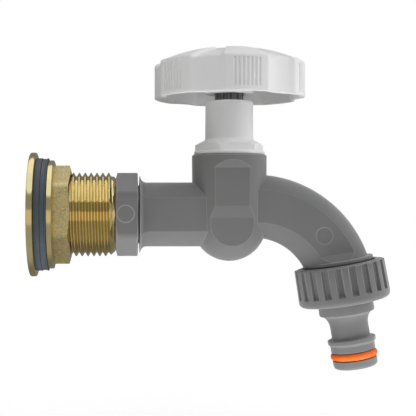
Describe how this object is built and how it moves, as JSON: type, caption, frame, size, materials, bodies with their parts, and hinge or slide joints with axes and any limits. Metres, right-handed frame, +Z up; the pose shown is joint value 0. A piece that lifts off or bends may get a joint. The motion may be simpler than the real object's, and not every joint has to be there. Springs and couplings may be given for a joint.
{
  "type": "bib tap",
  "caption": "Garden bib tap in plastic with a handwheel, a bent spout with a quick-connect hose nipple under a grooved nut, and a threaded brass tank fitting with gaskets.",
  "frame": {"origin": "on the inlet's axis, in the plane where the two gaskets meet and clamp the tank's wall", "axes": "+X along the inlet from the tank to the outlet, +Z up along the valve's axis, -Y towards the front"},
  "size_m": [0.1291, 0.054, 0.1154],
  "materials": {
    "body_plastic": "dark grey moulded plastic, fine satin",
    "head_plastic": "light grey moulded plastic, fine satin",
    "nut_plastic": "mid grey moulded plastic, fine satin",
    "brass": "turned and forged brass",
    "rubber": "blue-grey moulded rubber",
    "ring_rubber": "orange moulded rubber",
    "steel": "plain steel screws"
  },
  "bodies": {
    "tap": {"tap_body": "body_plastic", "bonnet": "head_plastic", "bonnet_seal": "rubber", "stem_rings": "rubber", "tank_fitting": "brass", "inner_gasket": "rubber"},
    "valve": {"valve_disc": "brass", "valve_washer": "rubber", "washer_screw": "steel"},
    "handwheel": {"spindle": "body_plastic", "handwheel": "head_plastic", "handwheel_screw": "steel", "handwheel_cap": "head_plastic"},
    "nipple": {"hose_nipple": "nut_plastic", "nipple_ring": "ring_rubber", "outlet_washer": "rubber"},
    "coupling_nut": {"coupling_nut": "nut_plastic"},
    "outer_gasket": {"outer_gasket": "rubber"},
    "flange_nut": {"flange_nut": "brass"},
    "inlet_seal": {"inlet_seal": "rubber"},
    "lock_nut": {"lock_nut": "body_plastic"}
  },
  "joints": [
    {"name": "valve_lift", "type": "slide", "parent": "tap", "child": "valve", "axis": [0, 0, 1], "range_m": [0, 0.005]},
    {"name": "handwheel_turn", "type": "hinge", "parent": "valve", "child": "handwheel", "pos_m": [0.0669, 0, 0.05], "axis": [0, 0, 1], "range_deg": [0, 720]},
    {"name": "nipple_drop", "type": "slide", "parent": "tap", "child": "nipple", "axis": [0.1685, 0, -0.9857], "range_m": [0, 0.008]},
    {"name": "coupling_nut_turn", "type": "hinge", "parent": "nipple", "child": "coupling_nut", "pos_m": [0.10652, 0, -0.0181], "axis": [0.1685, 0, -0.9857], "range_deg": [0, 1587]},
    {"name": "outer_gasket_slide", "type": "slide", "parent": "tap", "child": "outer_gasket", "axis": [1, 0, 0], "range_m": [0, 0.01575]},
    {"name": "flange_nut_turn", "type": "hinge", "parent": "outer_gasket", "child": "flange_nut", "pos_m": [0.005, 0, 0], "axis": [1, 0, 0], "range_deg": [0, 2700]},
    {"name": "inlet_seal_slide", "type": "slide", "parent": "tap", "child": "inlet_seal", "axis": [1, 0, 0], "range_m": [0, 0.0005]},
    {"name": "lock_nut_turn", "type": "hinge", "parent": "inlet_seal", "child": "lock_nut", "pos_m": [0.03, 0, 0], "axis": [1, 0, 0], "range_deg": [0, 99]}
  ],
  "couplings": [
    {"joint": "valve_lift", "follows": "handwheel_turn", "m_per_rad": 0.00039788},
    {"joint": "nipple_drop", "follows": "coupling_nut_turn", "m_per_rad": 0.00028871},
    {"joint": "outer_gasket_slide", "follows": "flange_nut_turn", "m_per_rad": 0.00033422},
    {"joint": "inlet_seal_slide", "follows": "lock_nut_turn", "m_per_rad": 0.00028871}
  ]
}
